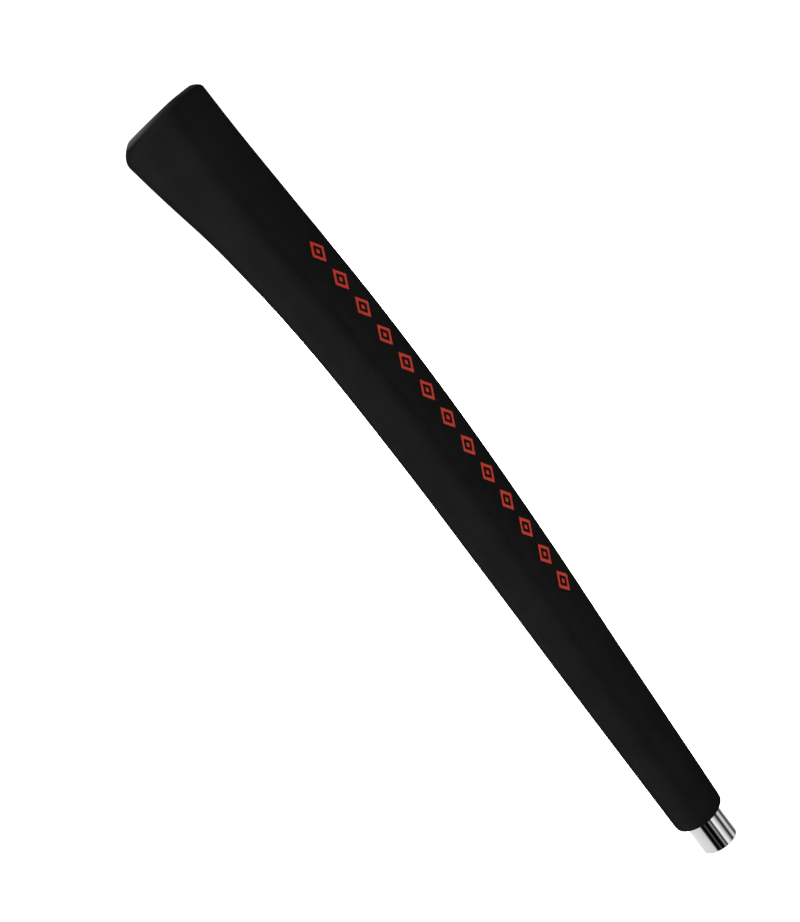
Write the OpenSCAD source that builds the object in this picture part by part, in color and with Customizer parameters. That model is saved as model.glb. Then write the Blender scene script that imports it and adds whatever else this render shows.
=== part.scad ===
// Pistol-style putter grip, fitted on the cut-off end of its steel shaft.
// Origin at the centre of the shaft's cut end. +Z runs up the shaft to the grip's butt.
// The flat thumb side of the grip faces -Y and the heel stands out towards +Y.
// Sections are half a squared oval in front and half a fuller oval behind, blended along the grip.

/* [Grip] */
// Length of the grip, from its mouth to the highest edge of its butt
grip_length = 292; // [286:1:304]
// Mouth: half width, height of the flat side and depth of the back, all from the shaft's axis
mouth_size = [9.3, 8.6, 9.4]; // [8.5:0.1:10]
// Throat: half width, height of the flat side and depth of the back
throat_size = [10.2, 10.5, 9.4]; // [9.2:0.1:12]
// Lower hand: half width, height of the flat side and depth of the back
lower_size = [10.5, 12.4, 9.2]; // [9.2:0.1:13]
// Belly: half width, height of the flat side and depth of the back
belly_size = [10.9, 13.6, 9.2]; // [9.2:0.1:14]
// Neck: half width, height of the flat side and depth of the back
neck_size = [11.8, 12.7, 10.9]; // [9.4:0.1:14]
// Start of the heel: half width, height of the flat side and depth of the back
rise_size = [12.2, 10.4, 16]; // [9.4:0.1:18]
// Heel: half width, height of the flat side and depth of the back
heel_size = [11.6, 9.3, 22.4]; // [9.2:0.1:24]
// Butt: half width, height of the flat side and depth of the back
butt_size = [10.6, 9.4, 27]; // [9.4:0.1:28]
// Slope of the butt's end, down from the flat side to the heel, in degrees
butt_slope = 5.9; // [0:0.1:9]
// Rounded lip at the mouth: how far it reaches in from the wall
lip_reach = 0.9; // [0.5:0.1:1.5]
// How far that lip reaches up the grip
lip_height = 2.2; // [1:0.1:5]
// How that lip leaves the wall and meets the end: 0 is a square corner, 0.45 is round, 1 is a chamfer
lip_shape = [0.4, 0.2]; // [0:0.05:1]

/* [Butt cap] */
// Thickness of the cap, measured at its flat side
cap_thickness = 8; // [7.5:0.1:10]
// Rounded edge of the cap on the flat side: how far it reaches in and how far down
flat_edge_size = [3.2, 3]; // [1:0.1:4]
// Rounded edge of the cap on the heel: how far it reaches in and how far down
heel_edge_size = [5.8, 6.6]; // [3:0.1:7]
// How that edge leaves the wall and meets the end: 0 is a square corner, 0.45 is round, 1 is a chamfer
cap_edge_shape = [0.45, 0.9]; // [0:0.05:1]
// How far the middle of the cap stands above its rolled edge
cap_crown = 0.2; // [0:0.1:1.5]
// Length of the round spigot that centres the cap in the grip
spigot_length = 4; // [2:0.5:6]
// Radius of the vent hole that lets air and solvent out while the grip goes on
vent_radius = 1.6; // [1:0.1:2.5]

/* [Shaft and tape] */
// Outside radius of the steel tube
shaft_radius = 6.5; // [6.3:0.05:6.55]
// Wall thickness of the steel tube
shaft_wall = 0.55; // [0.4:0.05:0.8]
// Length of bare tube below the grip's mouth
stub_length = 12; // [8:1:60]
// Thickness of the double-sided tape round the tube
tape_thickness = 0.18; // [0.1:0.02:0.2]
// Bare length of tube between the mouth and the start of the tape
tape_setback = 10; // [5:1:30]
// Length of tape folded over the top of the tube and tucked inside it
tape_tuck = 12; // [5:1:25]
// Radius of the bore through the grip
core_radius = 6.75; // [6.75:0.05:6.9]

/* [Paint-filled marks] */
// Number of lozenges in the row on the flat side
mark_count = 13; // [3:1:13]
// Distance between the centres of neighbouring lozenges
mark_pitch = 11; // [9.5:0.1:11.2]
// Length of a lozenge along the grip
mark_length = 8.6; // [6:0.1:9]
// Width of a lozenge across the grip
mark_width = 8; // [5:0.1:8.5]
// Width of the painted line
mark_stroke = 1.25; // [0.8:0.05:1.3]
// Length of the solid lozenge at the middle of each outline
centre_length = 2.4; // [1.5:0.1:2.6]
// Depth of the recess that holds the paint
mark_depth = 0.5; // [0.3:0.05:0.8]
// How far the paint sits below the rubber
paint_recess = 0.1; // [0.05:0.01:0.2]

/* [Hidden] */
$fn = 96;

// Room for glue round the spigot, and between the faces of the joint
spigot_gap = 0.05;
face_gap = 0.02;
// Clear space between the top of the tube and the spigot
cap_room = 1.5;
// How far a cutting shape reaches past what it cuts
overshoot = 1;
// Points in each ring of the skin, and rings in each stretch of it
around = 48;
body_rings = 34;
edge_steps = 6;
crown_rings = 3;

mouth_z = stub_length;
butt_z = mouth_z + grip_length;
cap_z = butt_z - cap_thickness;
tube_top_z = cap_z - spigot_length - tan(butt_slope) * (core_radius + butt_size[1]) - cap_room;
tape_radius = shaft_radius + tape_thickness;
tube_bore_radius = shaft_radius - shaft_wall;
body_start_z = mouth_z + lip_height;
tilt_start_z = mouth_z + 0.72 * grip_length;
tilt_end_z = cap_z - 2;
marks_middle_z = mouth_z + 0.557 * grip_length;

// Each station is its height, the three sizes, and how square its front and back are (2 is an ellipse).
function station(share, size, front, back) =
    [mouth_z + share * grip_length, size[0], size[1], size[2], front, back];
stations = [
    station(0, mouth_size, 2.1, 2),
    station(0.215, throat_size, 3.2, 2),
    station(0.377, lower_size, 4.4, 2),
    station(0.548, belly_size, 4.8, 2.05),
    station(0.702, neck_size, 4.4, 2.1),
    station(0.839, rise_size, 3.6, 2.3),
    station(0.932, heel_size, 3.2, 2.45),
    station(1, butt_size, 3, 2.5)];
WIDE = 1;
FLAT = 2;
BACK = 3;
FRONT_POWER = 4;
BACK_POWER = 5;

// The station below height z
function station_below(z, k = 0) =
    k >= len(stations) - 2 || z <= stations[k + 1][0] ? k : station_below(z, k + 1);

// Slope of one column of the table at station k
function station_slope(k, column) =
    let(low = stations[max(k - 1, 0)], high = stations[min(k + 1, len(stations) - 1)])
    (high[column] - low[column]) / (high[0] - low[0]);

// Smooth value of one column of the table at height z
function shape_at(z, column) =
    let(
        k = station_below(z),
        low = stations[k],
        high = stations[k + 1],
        run = high[0] - low[0],
        t = (z - low[0]) / run)
    low[column] * (1 + 2 * t) * (1 - t) * (1 - t)
        + high[column] * t * t * (3 - 2 * t)
        + station_slope(k, column) * run * t * (1 - t) * (1 - t)
        - station_slope(k + 1, column) * run * t * t * (1 - t);

// Share of the butt's slope that a ring at height z has
function tilt_at(z) =
    let(t = min(max((z - tilt_start_z) / (tilt_end_z - tilt_start_z), 0), 1))
    tan(butt_slope) * t * t * (3 - 2 * t);

function signed_power(value, power) = sign(value) * pow(abs(value), power);

// Outline point at height z and angle a, moved inwards
function skin_point(z, a, inset) =
    let(
        in_front = sin(a) < 0,
        power = 2 / shape_at(z, in_front ? FRONT_POWER : BACK_POWER),
        flat = shape_at(z, FLAT),
        back = shape_at(z, BACK),
        x = shape_at(z, WIDE) * signed_power(cos(a), power),
        y = (in_front ? flat : back) * signed_power(sin(a), power),
        middle_y = (back - flat) / 2,
        reach = norm([x, y - middle_y]),
        keep = 1 - inset / reach,
        y_in = middle_y + (y - middle_y) * keep)
    [x * keep, y_in, z - tilt_at(z) * (y_in + butt_size[1])];

function ring(z, inset = 0) = [for (j = [0:around - 1]) skin_point(z, 360 * j / around, inset)];

// Shares of a rounded edge's reach, down the wall and in across the end, from t = 0 on the wall to t = 1 on the end
function edge_down(t, shape) = pow(1 - t, 3) + 3 * pow(1 - t, 2) * t * shape[0];
function edge_in(t, shape) = pow(t, 3) + 3 * (1 - t) * pow(t, 2) * shape[1];

function lip_ring(t) =
    ring(mouth_z + lip_height * edge_down(t, lip_shape), lip_reach * edge_in(t, lip_shape));

// Reach in and down of the cap's rounded edge at angle a
function cap_edge_size(a) =
    let(share = (1 + sin(a)) / 2)
    flat_edge_size + (heel_edge_size - flat_edge_size) * share * share * (3 - 2 * share);

function cap_edge_ring(t) = [for (j = [0:around - 1])
    let(a = 360 * j / around, size = cap_edge_size(a))
    skin_point(butt_z - size[1] * edge_down(t, cap_edge_shape), a, size[0] * edge_in(t, cap_edge_shape))];

// Ring on the domed end, shrunk from the rolled edge by share
function crown_ring(share) =
    let(edge = cap_edge_ring(1), middle_y = (butt_size[2] - butt_size[1]) / 2)
    [for (p = edge)
        let(y = middle_y + (p[1] - middle_y) * share)
        [p[0] * share, y, butt_z + cap_crown * (1 - share * share) - tan(butt_slope) * (y + butt_size[1])]];

sleeve_rings = concat(
    [for (i = [0:edge_steps - 1]) lip_ring(1 - i / edge_steps)],
    [for (i = [0:body_rings]) ring(body_start_z + (cap_z - body_start_z) * i / body_rings)]);

cap_rings = concat(
    [ring(cap_z + face_gap)],
    [for (i = [0:edge_steps]) cap_edge_ring(i / edge_steps)],
    [for (i = [1:crown_rings]) crown_ring(1 - i / (crown_rings + 1))]);

// Closed skin through a stack of rings, with a flat first ring and last ring
module skin(rings) {
    last = len(rings) - 1;
    walls = [for (i = [0:last - 1], j = [0:around - 1])
        let(a = i * around + j, b = i * around + (j + 1) % around)
        each [[a, a + around, b], [b, a + around, b + around]]];
    floor_face = [[for (j = [0:around - 1]) j]];
    top_face = [[for (j = [around - 1:-1:0]) last * around + j]];
    polyhedron(points = [for (r = rings) each r], faces = concat(floor_face, walls, top_face), convexity = 6);
}

// Puts a flat drawing on the flat side of the grip, upright, with its depth along the surface's normal
module on_flat_side(z) {
    step = 1;
    lean = atan((shape_at(z + step, FLAT) - shape_at(z - step, FLAT)) / (2 * step));
    translate([0, -shape_at(z, FLAT), z]) rotate([lean, 0, 0]) rotate([90, 0, 0]) children();
}

module at_each_mark() {
    for (i = [0:mark_count - 1])
        on_flat_side(marks_middle_z + (i - (mark_count - 1) / 2) * mark_pitch) children();
}

module lozenge(long, wide) {
    polygon([[0, -long / 2], [wide / 2, 0], [0, long / 2], [-wide / 2, 0]]);
}

module lozenge_outline() {
    side_distance = mark_length * mark_width / 2 / norm([mark_length, mark_width]);
    inner = 1 - mark_stroke / side_distance;
    difference() {
        lozenge(mark_length, mark_width);
        lozenge(mark_length * inner, mark_width * inner);
    }
}

module lozenge_centre() {
    lozenge(centre_length, centre_length * mark_width / mark_length);
}

module recess() {
    translate([0, 0, -mark_depth]) linear_extrude(mark_depth + overshoot) children();
}

module paint() {
    translate([0, 0, -mark_depth]) linear_extrude(mark_depth - paint_recess) children();
}

module grip_sleeve() {
    color([0.11, 0.11, 0.11])
    difference() {
        skin(sleeve_rings);
        translate([0, 0, mouth_z - overshoot]) cylinder(r = core_radius, h = grip_length);
        at_each_mark() recess() lozenge_outline();
        at_each_mark() recess() lozenge_centre();
    }
}

module butt_cap() {
    spigot_z = cap_z - spigot_length - tan(butt_slope) * (core_radius + butt_size[1]);
    color([0.09, 0.09, 0.09])
    difference() {
        union() {
            skin(cap_rings);
            intersection() {
                translate([0, 0, spigot_z]) cylinder(r = core_radius - spigot_gap, h = butt_z - spigot_z);
                below_cap_middle();
            }
        }
        translate([0, 0, spigot_z - overshoot]) cylinder(r = vent_radius, h = grip_length);
    }
}

// Space below the middle of the cap, parallel to its joint face
module below_cap_middle() {
    block = 60;
    translate([0, -butt_size[1], cap_z + cap_thickness / 2])
        rotate([-butt_slope, 0, 0])
        translate([-block / 2, -block / 2, -block])
        cube([block, 2 * block, block]);
}

module mark_outlines() {
    color([0.78, 0.2, 0.15]) at_each_mark() paint() lozenge_outline();
}

module mark_centres() {
    color([0.78, 0.2, 0.15]) at_each_mark() paint() lozenge_centre();
}

// Tape round the tube, folded over its top edge and tucked inside
module grip_tape() {
    tape_start_z = mouth_z + tape_setback;
    tape_top_z = tube_top_z + tape_thickness;
    tuck_radius = tube_bore_radius - tape_thickness;
    color([0.86, 0.8, 0.66])
    rotate_extrude()
    polygon([
        [shaft_radius, tape_start_z],
        [tape_radius, tape_start_z],
        [tape_radius, tape_top_z],
        [tuck_radius, tape_top_z],
        [tuck_radius, tube_top_z - tape_tuck],
        [tube_bore_radius, tube_top_z - tape_tuck],
        [tube_bore_radius, tube_top_z],
        [shaft_radius, tube_top_z]]);
}

module shaft_section() {
    color([0.8, 0.81, 0.82])
    rotate_extrude()
    translate([tube_bore_radius, 0])
    square([shaft_wall, tube_top_z]);
}

grip_sleeve();
butt_cap();
mark_outlines();
mark_centres();
grip_tape();
shaft_section();
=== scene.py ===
import math

import bmesh
import bpy
import numpy as np
from mathutils import Matrix, Vector, noise


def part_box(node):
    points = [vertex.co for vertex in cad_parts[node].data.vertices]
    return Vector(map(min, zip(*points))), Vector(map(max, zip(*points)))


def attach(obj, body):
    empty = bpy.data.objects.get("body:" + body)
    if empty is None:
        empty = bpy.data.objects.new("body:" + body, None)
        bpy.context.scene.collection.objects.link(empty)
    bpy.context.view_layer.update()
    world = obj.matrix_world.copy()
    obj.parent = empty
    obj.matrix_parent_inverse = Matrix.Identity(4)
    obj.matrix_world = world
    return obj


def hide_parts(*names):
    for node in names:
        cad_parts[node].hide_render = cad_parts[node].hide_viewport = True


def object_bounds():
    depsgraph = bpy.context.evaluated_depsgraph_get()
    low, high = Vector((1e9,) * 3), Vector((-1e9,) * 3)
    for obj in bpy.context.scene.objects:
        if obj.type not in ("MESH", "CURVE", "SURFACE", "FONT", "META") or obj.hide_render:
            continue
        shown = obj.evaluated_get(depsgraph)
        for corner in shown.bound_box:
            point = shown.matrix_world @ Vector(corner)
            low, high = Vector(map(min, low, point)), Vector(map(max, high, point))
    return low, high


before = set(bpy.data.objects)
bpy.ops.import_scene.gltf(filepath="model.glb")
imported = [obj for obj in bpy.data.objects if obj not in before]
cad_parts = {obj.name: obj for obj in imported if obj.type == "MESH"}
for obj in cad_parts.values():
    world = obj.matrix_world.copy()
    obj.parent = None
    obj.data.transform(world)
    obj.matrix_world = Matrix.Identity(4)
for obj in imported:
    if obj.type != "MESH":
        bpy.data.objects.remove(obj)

# Looks of a pistol-style putter grip on a short piece of shaft. Everything is in metres, in the
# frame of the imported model: +Z up the shaft's axis to the butt, -Y out of the flat thumb side, +Y
# towards the heel.

cad_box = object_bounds()
MM = 0.001

# ---------------------------------------------------------------- places taken from the frame

mouth_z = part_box("grip_sleeve")[0].z
# Height, at the flat side, of the joint between the sleeve and the cap
cap_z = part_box("grip_sleeve")[1].z
tube_low, tube_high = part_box("shaft_section")
tube_radius = tube_high.x
tape_start_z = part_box("grip_tape")[0].z

# ---------------------------------------------------------------- sizes that the frame's boxes don't give

tube_wall = 0.55 * MM
core_radius = 6.75 * MM
vent_radius = 1.6 * MM
cap_thickness = 8 * MM
cap_crown = 0.2 * MM
spigot_gap = 0.05 * MM
spigot_length = 4 * MM
# Fall of the butt's end per metre from the flat side to the heel
butt_slope = math.tan(math.radians(5.9))
butt_z = cap_z + cap_thickness
grip_length = butt_z - mouth_z
grip_middle = Vector((0, 0, (mouth_z + butt_z) / 2))

# ---------------------------------------------------------------- the grip's outer skin

# Stations up the grip: share of its length, half width, flat side, back, and how square the front
# and the back are. The sizes are in millimetres, from the shaft's axis.
STATIONS = np.array([
    [0.000, 9.3, 8.6, 9.4, 2.1, 2.00],
    [0.215, 10.2, 10.5, 9.4, 3.2, 2.00],
    [0.377, 10.5, 12.4, 9.2, 4.4, 2.00],
    [0.548, 10.9, 13.6, 9.2, 4.8, 2.05],
    [0.702, 11.8, 12.7, 10.9, 4.4, 2.10],
    [0.839, 12.2, 10.4, 16.0, 3.6, 2.30],
    [0.932, 11.6, 9.3, 22.4, 3.2, 2.45],
    [1.000, 10.6, 9.4, 27.0, 3.0, 2.50],
])
WIDE, FLAT, BACK, FRONT_POWER, BACK_POWER = 1, 2, 3, 4, 5
butt_flat = STATIONS[-1, FLAT] * MM

# The rings start to lean at the first height and have the butt's full slope from the second on
tilt_start_z = mouth_z + 0.72 * grip_length
tilt_end_z = cap_z - 2 * MM

# Points in each ring of the skin and of the round parts that meet it
AROUND = 192
# Steps in which an outline is walked before its points are spaced evenly
FINE_STEPS = 1440

# Broken edge on both sides of the joint between the sleeve and the cap
joint_edge = 0.04 * MM
# A broken edge has a middle ring, this share of its size in and down
BREAK_SHARE = 0.3


def shape_at(z, column):
    """Smooth value of one column of the stations at height z, in metres for the sizes."""
    share = (z - mouth_z) / grip_length
    places = STATIONS[:, 0]
    values = STATIONS[:, column]
    slopes = np.empty(len(places))
    for k in range(len(places)):
        low, high = max(k - 1, 0), min(k + 1, len(places) - 1)
        slopes[k] = (values[high] - values[low]) / (places[high] - places[low])
    k = int(np.clip(np.searchsorted(places, share) - 1, 0, len(places) - 2))
    run = places[k + 1] - places[k]
    t = (share - places[k]) / run
    value = (
        values[k] * (1 + 2 * t) * (1 - t) ** 2
        + values[k + 1] * t * t * (3 - 2 * t)
        + slopes[k] * run * t * (1 - t) ** 2
        - slopes[k + 1] * run * t * t * (1 - t)
    )
    return value if column in (FRONT_POWER, BACK_POWER) else value * MM


def tilt_at(z):
    """Fall per metre, towards the heel, of the ring at height z: from 0 up to the butt's slope."""
    t = min(max((z - tilt_start_z) / (tilt_end_z - tilt_start_z), 0), 1)
    return butt_slope * t * t * (3 - 2 * t)


def outline(z):
    """Evenly spaced (x, y) points round the skin at height z, from the middle of the flat side."""
    angles = np.radians(np.linspace(-90, 270, FINE_STEPS + 1))
    sine, cosine = np.sin(angles), np.cos(angles)
    front = sine < 0
    power = np.where(front, 2 / shape_at(z, FRONT_POWER), 2 / shape_at(z, BACK_POWER))
    reach = np.where(front, shape_at(z, FLAT), shape_at(z, BACK))
    x = shape_at(z, WIDE) * np.sign(cosine) * np.abs(cosine) ** power
    y = reach * np.sign(sine) * np.abs(sine) ** power
    steps = np.hypot(np.diff(x), np.diff(y))
    along = np.concatenate([[0], np.cumsum(steps)])
    wanted = np.linspace(0, along[-1], AROUND + 1)[:-1]
    return np.stack([np.interp(wanted, along, x), np.interp(wanted, along, y)], 1)


def outward(points):
    """Unit normals, pointing out, of a closed outline that runs counter-clockwise."""
    tangent = np.roll(points, -1, 0) - np.roll(points, 1, 0)
    normal = np.stack([tangent[:, 1], -tangent[:, 0]], 1)
    return normal / np.linalg.norm(normal, axis=1)[:, None]


def tilted(points, z):
    """Lifts (x, y) points to height z, with the butt's slope. z is a number or one height per point."""
    heights = np.broadcast_to(np.asarray(z, float), (len(points),))
    slope = np.array([tilt_at(value) for value in heights])
    return np.column_stack([points, heights - slope * (points[:, 1] + butt_flat)])


def skin_ring(z, inset=0.0):
    """One ring of the skin at height z, drawn in by inset along its normals."""
    points = outline(z)
    return tilted(points - outward(points) * inset, z)


def edge_down(t, wall_pull):
    """Share of a rounded edge's reach down the wall, from t = 0 on the wall to t = 1 on the end."""
    return (1 - t) ** 3 + 3 * (1 - t) ** 2 * t * wall_pull


def edge_in(t, end_pull):
    """Share of a rounded edge's reach in across the end, from t = 0 on the wall to t = 1 on the end."""
    return t ** 3 + 3 * (1 - t) * t * t * end_pull


def turns_from_flat():
    """Angle of each point of a round ring, lined up with the points of the skin's rings."""
    return np.arange(AROUND) / AROUND * 2 * math.pi - math.pi / 2


def circle_ring(radius, z):
    """A level circle round the shaft's axis."""
    turn = turns_from_flat()
    points = np.stack([np.cos(turn) * radius, np.sin(turn) * radius], 1)
    return np.column_stack([points, np.full(AROUND, z)])


def sloped_circle_ring(radius, z):
    """A circle round the shaft's axis on a plane with the butt's slope, at height z on the flat side."""
    ring = circle_ring(radius, z)
    ring[:, 2] -= butt_slope * (ring[:, 1] + butt_flat)
    return ring


# ---------------------------------------------------------------- mesh helpers


def new_object(name, verts, faces):
    mesh = bpy.data.meshes.new(name)
    mesh.from_pydata(verts, [], faces)
    mesh.update()
    thing = bpy.data.objects.new(name, mesh)
    bpy.context.scene.collection.objects.link(thing)
    return thing


def bands(first, ring_count, points_in_ring, closed):
    """Faces between neighbouring rings of points. first is the number of the first ring's first point.

    closed joins the last ring to the first ring too."""
    faces = []
    for i in range(ring_count if closed else ring_count - 1):
        here = first + i * points_in_ring
        above = first + (i + 1) % ring_count * points_in_ring
        for j in range(points_in_ring):
            k = (j + 1) % points_in_ring
            faces.append((here + j, here + k, above + k, above + j))
    return faces


def lofted(name, rings):
    """Closed mesh through a stack of rings, the last one joined to the first."""
    made = new_object(name, np.concatenate(rings).tolist(), bands(0, len(rings), len(rings[0]), True))
    face_outwards(made)
    return made


def face_outwards(thing):
    """Makes every face of a closed mesh point out."""
    work = bmesh.new()
    work.from_mesh(thing.data)
    bmesh.ops.recalc_face_normals(work, faces=work.faces)
    work.to_mesh(thing.data)
    work.free()


def smooth_shade(thing, sharp_angle=40):
    """Shades smoothly, except across edges sharper than sharp_angle degrees."""
    thing.data.polygons.foreach_set("use_smooth", [True] * len(thing.data.polygons))
    thing.data.set_sharp_from_angle(angle=math.radians(sharp_angle))


def apply_modifiers(thing):
    graph = bpy.context.evaluated_depsgraph_get()
    made = bpy.data.meshes.new_from_object(thing.evaluated_get(graph))
    thing.modifiers.clear()
    old = thing.data
    thing.data = made
    bpy.data.meshes.remove(old)


def cut(thing, cutter):
    """Takes cutter's shape out of thing, and removes cutter."""
    change = thing.modifiers.new("cut", "BOOLEAN")
    change.operation = "DIFFERENCE"
    change.solver = "EXACT"
    change.object = cutter
    apply_modifiers(thing)
    bpy.data.objects.remove(cutter)


def finish_piece(thing, body, node, material):
    """Gives a piece its material, and puts it in its CAD node's place on a body."""
    thing.data.materials.clear()
    thing.data.materials.append(material)
    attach(thing, body)
    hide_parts(node)


# ---------------------------------------------------------------- node material helpers


class Nodes:
    """A material's node tree, with short calls to add and join nodes."""

    def __init__(self, name):
        self.material = bpy.data.materials.new(name)
        self.material.use_nodes = True
        self.tree = self.material.node_tree
        self.shader = self.tree.nodes["Principled BSDF"]
        self.place = self.add("ShaderNodeTexCoord").outputs["Object"]

    def add(self, kind, **settings):
        made = self.tree.nodes.new(kind)
        for key, value in settings.items():
            setattr(made, key, value)
        return made

    def join(self, source, target):
        self.tree.links.new(source, target)

    def feed(self, name, source):
        """Joins source to the shader's input of that name."""
        self.join(source, self.shader.inputs[name])

    def fix(self, name, value):
        """Sets the shader's input of that name to one value."""
        self.shader.inputs[name].default_value = value

    def noise(self, per_metre, detail=4, roughness=0.55, stretch=(1, 1, 1)):
        scaled = self.add("ShaderNodeMapping")
        scaled.inputs["Scale"].default_value = stretch
        self.join(self.place, scaled.inputs["Vector"])
        made = self.add("ShaderNodeTexNoise")
        made.inputs["Scale"].default_value = per_metre
        made.inputs["Detail"].default_value = detail
        made.inputs["Roughness"].default_value = roughness
        self.join(scaled.outputs["Vector"], made.inputs["Vector"])
        return made.outputs["Fac"]

    def spread(self, source, low, high, to_low, to_high):
        """Maps source from low..high to to_low..to_high, and holds it there."""
        made = self.add("ShaderNodeMapRange", clamp=True)
        self.join(source, made.inputs["Value"])
        made.inputs["From Min"].default_value = low
        made.inputs["From Max"].default_value = high
        made.inputs["To Min"].default_value = to_low
        made.inputs["To Max"].default_value = to_high
        return made.outputs["Result"]

    def mix_colour(self, share, first, second):
        """Goes from the first colour to the second as share goes from 0 to 1."""
        made = self.add("ShaderNodeMix", data_type="RGBA")
        self.join(share, made.inputs["Factor"])
        for socket, value in ((made.inputs["A"], first), (made.inputs["B"], second)):
            if isinstance(value, tuple):
                socket.default_value = (*value, 1)
            else:
                self.join(value, socket)
        return made.outputs["Result"]

    def maths(self, operation, first, second):
        made = self.add("ShaderNodeMath", operation=operation)
        for socket, value in ((made.inputs[0], first), (made.inputs[1], second)):
            if isinstance(value, (int, float)):
                socket.default_value = value
            else:
                self.join(value, socket)
        return made.outputs["Value"]

    def sum(self, first, second):
        return self.maths("ADD", first, second)

    def product(self, first, second):
        return self.maths("MULTIPLY", first, second)

    def bump(self, height, depth, strength, after=None):
        made = self.add("ShaderNodeBump")
        made.inputs["Strength"].default_value = strength
        made.inputs["Distance"].default_value = depth
        self.join(height, made.inputs["Height"])
        if after is not None:
            self.join(after, made.inputs["Normal"])
        return made.outputs["Normal"]

    def towards_heel(self):
        """Distance from the shaft's axis towards the heel."""
        parts = self.add("ShaderNodeSeparateXYZ")
        self.join(self.place, parts.inputs["Vector"])
        return parts.outputs["Y"]

    def grazing(self):
        """How far the surface turns away from the eye: 0 square on, 1 edge on."""
        return self.add("ShaderNodeLayerWeight").outputs["Facing"]

    def level(self):
        """How level the surface lies: 1 facing straight up or down, 0 upright."""
        geometry = self.add("ShaderNodeNewGeometry")
        parts = self.add("ShaderNodeSeparateXYZ")
        self.join(geometry.outputs["Normal"], parts.inputs["Vector"])
        return self.maths("ABSOLUTE", parts.outputs["Z"], 0)


# ---------------------------------------------------------------- materials


def rubber_material(name, dark, light, roughness, end_polish):
    """Smooth moulded black rubber: a very fine grain, faint cloudy bloom, and slightly polished patches.

    end_polish is the extra shine of the butt's end, most on its heel, where hands and the bag rub
    it smooth."""
    patch_change = 0.035
    pit_change = 0.03
    rubbed_change = -0.15
    nodes = Nodes(name)
    grain = nodes.noise(5200, detail=3)
    pits = nodes.noise(1500, detail=2)
    bloom = nodes.noise(55, detail=5, roughness=0.6)
    handling = nodes.noise(18, detail=3, stretch=(1, 1, 0.35))
    nodes.feed("Base Color", nodes.mix_colour(nodes.spread(bloom, 0.35, 0.7, 0.0, 1.0), dark, light))
    heel_share = nodes.spread(nodes.towards_heel(), -2 * MM, 11 * MM, 0.2, 0.85)
    rubbed = nodes.product(nodes.spread(nodes.level(), 0.72, 0.98, 0.0, 1.0), heel_share)
    patches = nodes.spread(handling, 0.35, 0.65, roughness - patch_change, roughness + patch_change)
    fine = nodes.spread(pits, 0.3, 0.7, -pit_change, pit_change)
    nodes.feed("Roughness", nodes.sum(nodes.sum(patches, fine), nodes.product(rubbed, rubbed_change)))
    grained = nodes.bump(grain, 0.02 * MM, 0.6)
    nodes.feed("Normal", nodes.bump(pits, 0.03 * MM, 0.5, grained))
    polish = nodes.spread(handling, 0.35, 0.65, 0.06, 0.03)
    matt_edge = nodes.spread(nodes.grazing(), 0.1, 0.6, 1.0, 0.0)
    shine = nodes.sum(nodes.product(polish, matt_edge), nodes.product(rubbed, end_polish))
    nodes.feed("Specular IOR Level", shine)
    return nodes.material


def paint_material():
    """Satin red paint laid in the recesses: slightly uneven in colour and thickness."""
    deep, bright = (0.21, 0.0095, 0.0035), (0.25, 0.014, 0.0053)
    nodes = Nodes("mark_paint")
    patches = nodes.noise(700, detail=4)
    ripples = nodes.noise(2600, detail=2)
    nodes.feed("Base Color", nodes.mix_colour(nodes.spread(patches, 0.3, 0.7, 0.0, 1.0), deep, bright))
    nodes.feed("Roughness", nodes.spread(patches, 0.3, 0.7, 0.5, 0.36))
    nodes.feed("Normal", nodes.bump(ripples, 0.03 * MM, 0.6))
    nodes.fix("Specular IOR Level", 0.1)
    return nodes.material


def tape_material():
    """Creped paper tape: cross-wise crepe ridges with painted shading in their hollows, fibres, and a faint
    shine of adhesive.
    """
    # The first colour is a darker paper painted into the crepe hollows as shading. The last is the colour
    # of real stains.
    painted_crease_shade, paper, stain = (0.13, 0.1, 0.06), (0.175, 0.147, 0.1), (0.107, 0.078, 0.043)
    nodes = Nodes("tape_paper")
    crepe = nodes.noise(900, detail=4, stretch=(0.25, 0.25, 2.2))
    fibres = nodes.noise(2500, detail=5, roughness=0.7)
    stains = nodes.noise(60, detail=4)
    # Painted shading: the paper is coloured darker where the crepe noise is low, which is the hollows of
    # the bumped ridges.
    crepe_with_painted_shading = nodes.mix_colour(nodes.spread(crepe, 0.35, 0.65, 0.0, 1.0), painted_crease_shade, paper)
    nodes.feed("Base Color", nodes.mix_colour(nodes.spread(stains, 0.45, 0.75, 0.0, 0.5), crepe_with_painted_shading, stain))
    nodes.feed("Roughness", nodes.spread(fibres, 0.3, 0.7, 0.42, 0.68))
    ridged = nodes.bump(crepe, 0.06 * MM, 0.8)
    nodes.feed("Normal", nodes.bump(fibres, 0.02 * MM, 0.5, ridged))
    return nodes.material


def chrome_material():
    """Bright chrome plating with hairline polishing marks and faint haze, bare steel where sawn."""
    bright, hazy, steel = (0.86, 0.87, 0.88), (0.78, 0.79, 0.81), (0.42, 0.41, 0.4)
    nodes = Nodes("shaft_chrome")
    haze = nodes.noise(160, detail=4)
    hairlines = nodes.noise(2400, detail=3, stretch=(1, 1, 0.03))
    saw_marks = nodes.noise(2600, detail=3, stretch=(0.06, 1, 1))
    sawn = nodes.spread(nodes.level(), 0.6, 0.8, 0.0, 1.0)
    plating = nodes.mix_colour(nodes.spread(haze, 0.35, 0.7, 0.0, 1.0), bright, hazy)
    nodes.feed("Base Color", nodes.mix_colour(sawn, plating, steel))
    polished = nodes.spread(hairlines, 0.3, 0.7, 0.015, 0.035)
    rough_end = nodes.spread(sawn, 0.0, 1.0, 0.0, 0.32)
    nodes.feed("Roughness", nodes.sum(polished, rough_end))
    brushed = nodes.bump(hairlines, 0.001 * MM, 0.25)
    nodes.feed("Normal", nodes.bump(nodes.product(saw_marks, sawn), 0.04 * MM, 1.0, brushed))
    nodes.fix("Metallic", 1.0)
    return nodes.material


# ---------------------------------------------------------------- the marks on the flat side

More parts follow.
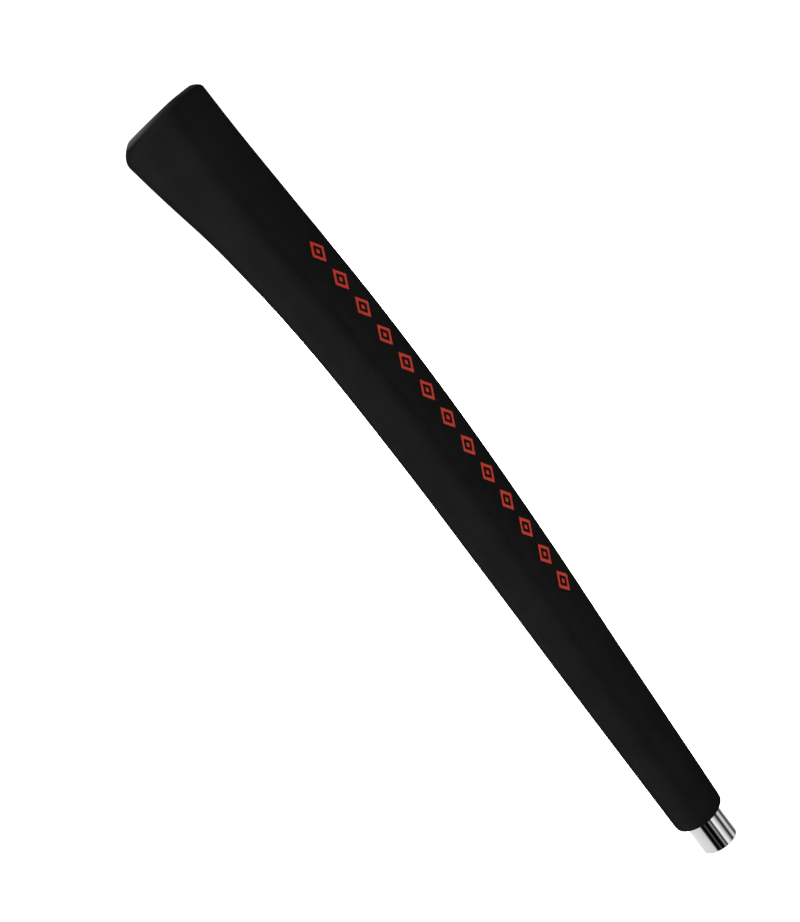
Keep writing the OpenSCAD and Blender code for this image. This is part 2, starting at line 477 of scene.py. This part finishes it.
MARK_COUNT = 13
mark_pitch = 11 * MM
mark_length = 8.6 * MM
mark_width = 8.0 * MM
mark_stroke = 1.25 * MM
centre_length = 2.4 * MM
mark_depth = 0.5 * MM
paint_recess = 0.1 * MM
marks_middle_z = mouth_z + 0.557 * grip_length
# Rounding of the corners of the line's outer edge, of its inner edge, and of the small lozenge
outer_corner, inner_corner, centre_corner = 0.5 * MM, 0.3 * MM, 0.2 * MM
CORNER_STEPS = 4


def mark_heights():
    return [marks_middle_z + (i - (MARK_COUNT - 1) / 2) * mark_pitch for i in range(MARK_COUNT)]


def on_flat_side(points, depth, z):
    """Puts drawing points on the flat side at height z, upright, depth out from the surface."""
    step = 1 * MM
    rise = (shape_at(z + step, FLAT) - shape_at(z - step, FLAT)) / (2 * step)
    lean = math.atan(rise)
    across = Vector((1, 0, 0))
    up = Vector((0, -math.sin(lean), math.cos(lean)))
    out = Vector((0, -math.cos(lean), -math.sin(lean)))
    middle = Vector((0, -shape_at(z, FLAT), z))
    return [middle + across * p.x + up * p.y + out * depth for p in points]


def lozenge(long, wide, corner):
    """Corner-rounded lozenge outline, counter-clockwise from its lowest point."""
    tips = [Vector((0, -long / 2)), Vector((wide / 2, 0)), Vector((0, long / 2)), Vector((-wide / 2, 0))]
    points = []
    for i, tip in enumerate(tips):
        before = (tips[i - 1] - tip).normalized() * corner
        after = (tips[(i + 1) % len(tips)] - tip).normalized() * corner
        for s in range(CORNER_STEPS + 1):
            t = s / CORNER_STEPS
            points.append(tip + before * (1 - t) ** 2 + after * t * t)
    return points


def mark_outlines_2d():
    """Outer and inner edge of the painted line, and the small solid lozenge."""
    side_distance = mark_length * mark_width / 2 / math.hypot(mark_length, mark_width)
    inner = 1 - mark_stroke / side_distance
    return (
        lozenge(mark_length, mark_width, outer_corner),
        lozenge(mark_length * inner, mark_width * inner, inner_corner),
        lozenge(centre_length, centre_length * mark_width / mark_length, centre_corner),
    )


def shrunk(points, amount):
    """Points drawn towards their middle, on average by amount. A negative amount spreads them."""
    keep = 1 - amount / (sum(p.length for p in points) / len(points))
    return [p * keep for p in points]


def add_slab(verts, faces, z, outer, inner, floor, top, edge):
    """Adds one shape at height z: a slab from floor to top with its upper edges rounded off by edge.

    inner is the outline of its hole, or None for a slab without one."""
    break_size = edge * BREAK_SHARE
    levels = [(floor, 0.0), (top - edge, 0.0), (top - break_size, break_size), (top, edge)]
    count = len(outer)
    first = len(verts)
    for depth, amount in levels:
        verts.extend(on_flat_side(shrunk(outer, amount), depth, z))
    if inner is None:
        last = first + (len(levels) - 1) * count
        faces.append([first + j for j in reversed(range(count))])
        faces.append([last + j for j in range(count)])
        faces.extend(bands(first, len(levels), count, False))
        return
    for depth, amount in reversed(levels):
        verts.extend(on_flat_side(shrunk(inner, -amount), depth, z))
    faces.extend(bands(first, 2 * len(levels), count, True))


def slabs(name, shapes, floor, top, edge):
    """One mesh of a slab per mark height for each (outer, inner) shape."""
    verts, faces = [], []
    for z in mark_heights():
        for outer, inner in shapes:
            add_slab(verts, faces, z, outer, inner, floor, top, edge)
    made = new_object(name, verts, faces)
    face_outwards(made)
    return made


# ---------------------------------------------------------------- the pieces


def make_sleeve():
    """Rubber body: outer skin, rolled lip, round bore, and recesses for the paint."""
    lip_reach, lip_height = 0.9 * MM, 2.2 * MM
    wall_pull, end_pull = 0.4, 0.2
    lip_steps, wall_rings, bore_rings = 18, 260, 40
    bore_edge = 0.15 * MM
    # The first level ring of the bore, below the whole of the sloping joint
    bore_top_z = cap_z - 8 * MM
    rings = []
    for t in np.linspace(1, 0, lip_steps + 1)[:-1]:
        z = mouth_z + lip_height * edge_down(t, wall_pull)
        rings.append(skin_ring(z, lip_reach * edge_in(t, end_pull)))
    rings += [skin_ring(z) for z in np.linspace(mouth_z + lip_height, cap_z - joint_edge, wall_rings)]
    rings.append(skin_ring(cap_z - BREAK_SHARE * joint_edge, BREAK_SHARE * joint_edge))
    rings.append(skin_ring(cap_z, joint_edge))
    rings.append(sloped_circle_ring(core_radius, cap_z))
    bore_heights = np.linspace(bore_top_z, mouth_z + bore_edge, bore_rings)
    rings += [circle_ring(core_radius, z) for z in bore_heights]
    rings.append(circle_ring(core_radius + BREAK_SHARE * bore_edge, mouth_z + BREAK_SHARE * bore_edge))
    rings.append(circle_ring(core_radius + bore_edge, mouth_z))
    sleeve = lofted("grip_sleeve_skin", rings)
    outer, inner, centre = mark_outlines_2d()
    above_skin, cutter_edge = 1 * MM, 0.01 * MM
    shapes = [(outer, inner), (centre, None)]
    cut(sleeve, slabs("recess_cutter", shapes, -mark_depth, above_skin, cutter_edge))
    smooth_shade(sleeve)
    return sleeve


def make_cap():
    """End cap: rolled edge, slightly domed end, vent hole, and the spigot that sits in the bore."""
    flat_reach, flat_drop = 3.2 * MM, 3.0 * MM
    heel_reach, heel_drop = 5.8 * MM, 6.6 * MM
    wall_pull, end_pull = 0.45, 0.9
    edge_steps, dome_steps = 24, 26
    spigot_edge, vent_edge = 0.3 * MM, 0.2 * MM
    spigot_z = cap_z - spigot_length - butt_slope * (core_radius + butt_flat)
    spigot_radius = core_radius - spigot_gap
    # How far round each point of a ring is: 0 on the flat side, 1 on the heel
    heel_share = (1 + np.sin(turns_from_flat())) / 2
    heel_share = heel_share * heel_share * (3 - 2 * heel_share)
    reach_in = flat_reach + (heel_reach - flat_reach) * heel_share
    reach_down = flat_drop + (heel_drop - flat_drop) * heel_share

    def edge_ring(t):
        heights = butt_z - reach_down * edge_down(t, wall_pull)
        insets = reach_in * edge_in(t, end_pull)
        points = np.empty((AROUND, 2))
        for j in range(AROUND):
            section = outline(heights[j])
            points[j] = (section - outward(section) * insets[j])[j]
        return tilted(points, heights)

    rings = [circle_ring(spigot_radius - spigot_edge, spigot_z)]
    rings.append(circle_ring(spigot_radius, spigot_z + spigot_edge))
    rings.append(sloped_circle_ring(spigot_radius, cap_z))
    rings.append(skin_ring(cap_z, joint_edge))
    rings.append(skin_ring(cap_z + BREAK_SHARE * joint_edge, BREAK_SHARE * joint_edge))
    rings.append(skin_ring(cap_z + joint_edge))
    rings += [edge_ring(t) for t in np.linspace(0, 1, edge_steps + 1)]
    rolled_edge = rings[-1]
    hole = circle_ring(vent_radius + vent_edge, 0)
    for i in range(1, dome_steps + 1):
        s = i / dome_steps
        points = rolled_edge[:, :2] * (1 - s) + hole[:, :2] * s
        lift = cap_crown * (1 - (1 - s) ** 2)
        rings.append(np.column_stack([points, butt_z + lift - butt_slope * (points[:, 1] + butt_flat)]))
    rings.append(sloped_circle_ring(vent_radius, butt_z + cap_crown - vent_edge))
    rings.append(circle_ring(vent_radius, spigot_z))
    cap = lofted("butt_cap_skin", rings)
    smooth_shade(cap)
    return cap


def swept(name, profile, steps, radius_shift=None):
    """Turns a closed (radius, height, share of shift) profile round the shaft's axis."""
    rings = []
    for radius, height, share in profile:
        ring = []
        for j in range(steps):
            turn = 2 * math.pi * j / steps
            r = radius + (radius_shift(turn, height) * share if radius_shift else 0)
            ring.append((math.cos(turn) * r, math.sin(turn) * r, height))
        rings.append(np.array(ring))
    made = lofted(name, rings)
    smooth_shade(made)
    return made


def make_tube():
    """Chrome-plated steel tube, sawn off square at its lower end with its edges just broken."""
    inside = tube_radius - tube_wall
    chamfer = 0.08 * MM
    wall_rings = 24
    low, high = tube_low.z, tube_high.z
    levels = np.linspace(low + chamfer, high - chamfer, wall_rings)
    profile = [(inside, z, 0) for z in levels[::-1]]
    profile += [(inside + chamfer, low, 0), (tube_radius - chamfer, low, 0)]
    profile += [(tube_radius, z, 0) for z in levels]
    profile += [(tube_radius - chamfer, high, 0), (inside + chamfer, high, 0)]
    return swept("shaft_tube", profile, steps=256)


def make_tape():
    """Double-sided tape: one layer with a lapped edge, folded over the tube's top and tucked inside."""
    layer = 0.12 * MM
    lap = 0.1 * MM
    tuck = 12 * MM
    lap_start, lap_end = math.radians(60), math.radians(125)
    # The lap's edges wander by up to this angle, and rise to their full height over the next one
    wander_angle, blend_angle = math.radians(2.5), math.radians(4)
    wander_rate = 60
    crease_height, crease_rate, crease_count = 0.012 * MM, 260, 3
    under_rings, outer_rings, fold_rings, tuck_rings = 30, 160, 5, 8

    def shift(turn, height):
        wander = wander_angle * math.sin(height * wander_rate)
        after_start = turn - lap_start - wander
        before_end = lap_end + wander - turn
        lap_share = min(max(min(after_start, before_end) / blend_angle, 0), 1)
        x, y = math.cos(turn) * crease_count, math.sin(turn) * crease_count
        return lap * lap_share + noise.noise(Vector((x, y, height * crease_rate))) * crease_height

    top = tube_high.z
    inside = tube_radius - tube_wall
    profile = [(tube_radius, z, 0) for z in np.linspace(top, tape_start_z, under_rings)]
    profile += [(tube_radius + layer, z, 1) for z in np.linspace(tape_start_z, top, outer_rings)]
    for degrees in np.linspace(0, 90, fold_rings)[1:]:
        out, up = layer * math.cos(math.radians(degrees)), layer * math.sin(math.radians(degrees))
        profile.append((tube_radius + out, top + up, 1 - degrees / 90))
    for degrees in np.linspace(90, 180, fold_rings):
        out, up = layer * math.cos(math.radians(degrees)), layer * math.sin(math.radians(degrees))
        profile.append((inside + out, top + up, 0))
    profile += [(inside - layer, z, 0) for z in np.linspace(top, top - tuck, tuck_rings)[1:]]
    profile += [(inside, z, 0) for z in np.linspace(top - tuck, top, tuck_rings)]
    return swept("tape_wrap", profile, steps=240, radius_shift=shift)


def make_marks(name, outer, inner):
    """Paint of one shape at every mark height, a little below the rubber, with soft edges."""
    paint_edge = 0.12 * MM
    marks = slabs(name, [(outer, inner)], -mark_depth, -paint_recess, paint_edge)
    smooth_shade(marks, sharp_angle=50)
    return marks


def make_pieces():
    """Every visible piece, on its body and in the place of its CAD node."""
    black = (0.0027, 0.0028, 0.0026)
    sleeve_bloom, cap_bloom = (0.0037, 0.0038, 0.0036), (0.0036, 0.0037, 0.0035)
    sleeve_rubber = rubber_material("grip_rubber", black, sleeve_bloom, roughness=0.55, end_polish=0.0)
    cap_rubber = rubber_material("cap_rubber", black, cap_bloom, roughness=0.5, end_polish=0.4)
    paint = paint_material()
    tape_paper = tape_material()
    chrome = chrome_material()
    outer, inner, centre = mark_outlines_2d()
    finish_piece(make_sleeve(), "grip", "grip_sleeve", sleeve_rubber)
    finish_piece(make_cap(), "grip", "butt_cap", cap_rubber)
    lozenge_lines = make_marks("mark_lozenge_lines", outer, inner)
    finish_piece(lozenge_lines, "grip", "mark_outlines", paint)
    lozenge_centres = make_marks("mark_lozenge_centres", centre, None)
    finish_piece(lozenge_centres, "grip", "mark_centres", paint)
    finish_piece(make_tape(), "shaft", "grip_tape", tape_paper)
    finish_piece(make_tube(), "shaft", "shaft_section", chrome)


# ---------------------------------------------------------------- studio

# The view, in degrees and metres. The azimuth is 0 square on to the flat side, and the roll tips the
# butt to the left.
VIEW_AZIMUTH = -53.7
VIEW_ELEVATION = 13.85
VIEW_ROLL = 36.66
camera_distance = 0.652
# Width of what the picture takes in at that distance
picture_width = 0.2945
# How far the middle of the grip sits right of and below the middle of the picture
aim_right = 15.1 * MM
aim_down = 4.3 * MM

# Brightness of the even white light that falls on everything
ROOM_LIGHT = 1.3
# Brightness of the studio as it shows in reflections, by degrees to the left of the camera: white
# walls, strip boxes and the dark gap behind the camera
STUDIO = [
    (-180, 0.5), (-138, 0.3), (-125, 0.03), (-118, 0.03), (-107, 0.5), (-97, 0.75), (-89, 0.6), (-80, 0.05),
    (-70, 0.01), (-58, 0.45), (-49, 0.75), (-38, 0.98), (-33, 1.0), (-29, 0.35), (-24, 0.0), (-20, 0.05),
    (-14, 0.32), (-9, 0.2), (-5, 0.02), (0, 0.0), (12, 0.0), (19, 0.07), (24, 0.03), (29, 0.0), (40, 0.0),
    (46, 0.12), (51, 0.6), (60, 0.74), (95, 0.8), (130, 0.86), (180, 0.9),
]
# Soft lights, left out of reflections: degrees round from the camera, degrees up, metres wide, and watts
SOFTBOXES = {
    "side_softbox": (-92, 15, 1.2, 72),
    "top_softbox": (-100, 72, 0.8, 28),
    "back_softbox": (172, 20, 1.2, 90),
}
softbox_distance = 2.0


def make_floor():
    """Pale floor under the shaft's cut end. It glows a little, so that shadows on it stay faint."""
    nodes = Nodes("studio_floor")
    tone = nodes.noise(3, detail=2)
    nodes.feed("Base Color", nodes.mix_colour(tone, (0.88, 0.88, 0.88), (0.92, 0.92, 0.92)))
    nodes.fix("Roughness", 0.9)
    nodes.fix("Emission Color", (1, 1, 1, 1))
    nodes.fix("Emission Strength", 0.2)
    middle = (0, 0, cad_box[0].z)
    bpy.ops.mesh.primitive_circle_add(vertices=96, radius=6, fill_type="NGON", location=middle)
    floor = bpy.context.object
    floor.name = "studio_floor"
    floor.data.materials.append(nodes.material)
    floor.visible_glossy = False


def make_world():
    """Even white light. In reflections it is a soft studio that varies round the object."""
    # The studio is a touch warm
    blue_share = 0.99
    world = bpy.data.worlds.new("studio")
    bpy.context.scene.world = world
    world.use_nodes = True
    tree = world.node_tree
    add, join = tree.nodes.new, tree.links.new
    background = tree.nodes["Background"]
    direction = add("ShaderNodeTexCoord").outputs["Generated"]
    turned = add("ShaderNodeVectorRotate")
    turned.rotation_type = "Z_AXIS"
    turned.inputs["Angle"].default_value = math.radians(90 - VIEW_AZIMUTH)
    join(direction, turned.inputs["Vector"])
    parts = add("ShaderNodeSeparateXYZ")
    join(turned.outputs["Vector"], parts.inputs["Vector"])
    angle = add("ShaderNodeMath")
    angle.operation = "ARCTAN2"
    join(parts.outputs["Y"], angle.inputs[0])
    join(parts.outputs["X"], angle.inputs[1])
    share = add("ShaderNodeMapRange")
    share.inputs["From Min"].default_value = -math.pi
    share.inputs["From Max"].default_value = math.pi
    join(angle.outputs["Value"], share.inputs["Value"])
    ramp = add("ShaderNodeValToRGB")
    stops = sorted(((180 - degrees) / 360, value) for degrees, value in STUDIO)
    while len(ramp.color_ramp.elements) < len(stops):
        ramp.color_ramp.elements.new(0.5)
    for stop, (place, value) in zip(ramp.color_ramp.elements, stops):
        stop.position = place
        stop.color = (value, value, value * blue_share, 1)
    join(share.outputs["Result"], ramp.inputs["Fac"])
    reflected = add("ShaderNodeLightPath").outputs["Is Glossy Ray"]
    seen = add("ShaderNodeMix")
    seen.data_type = "RGBA"
    join(reflected, seen.inputs["Factor"])
    seen.inputs["A"].default_value = (ROOM_LIGHT, ROOM_LIGHT, ROOM_LIGHT, 1)
    join(ramp.outputs["Color"], seen.inputs["B"])
    join(seen.outputs["Result"], background.inputs["Color"])
    world.cycles.sampling_method = "NONE"


def view_direction(azimuth, elevation):
    """Unit vector from the grip towards an eye or a light at these degrees."""
    turn, lift = math.radians(azimuth), math.radians(elevation)
    return Vector((math.sin(turn) * math.cos(lift), -math.cos(turn) * math.cos(lift), math.sin(lift)))


def make_softbox(name, from_camera, elevation, size, energy):
    """Round soft light that faces the middle of the grip."""
    direction = view_direction(VIEW_AZIMUTH + from_camera, elevation)
    data = bpy.data.lights.new(name, "AREA")
    data.shape = "DISK"
    data.size = size
    data.energy = energy
    light = bpy.data.objects.new(name, data)
    light.location = grip_middle + direction * softbox_distance
    light.rotation_euler = direction.to_track_quat("Z", "Y").to_euler()
    light.visible_glossy = False
    bpy.context.scene.collection.objects.link(light)


def make_camera():
    """Camera beside the flat side and slightly above, rolled so that the butt is up on the left."""
    roll = math.radians(VIEW_ROLL)
    back = view_direction(VIEW_AZIMUTH, VIEW_ELEVATION)
    right = Vector((0, 0, 1)).cross(back).normalized()
    up = back.cross(right)
    turned_right = right * math.cos(roll) - up * math.sin(roll)
    turned_up = right * math.sin(roll) + up * math.cos(roll)
    place = grip_middle + back * camera_distance
    aim = grip_middle - turned_right * aim_right + turned_up * aim_down
    back = (place - aim).normalized()
    right = turned_up.cross(back).normalized()
    turned = Matrix((right, back.cross(right), back)).transposed()
    data = bpy.data.cameras.new("camera")
    data.sensor_width = 36
    data.lens = camera_distance * data.sensor_width / picture_width
    camera = bpy.data.objects.new("camera", data)
    camera.matrix_world = Matrix.Translation(place) @ turned.to_4x4()
    bpy.context.scene.collection.objects.link(camera)
    bpy.context.scene.camera = camera


make_pieces()
make_floor()
make_world()
for softbox_name, placing in SOFTBOXES.items():
    make_softbox(softbox_name, *placing)
make_camera()
bpy.context.scene.view_settings.view_transform = "Standard"
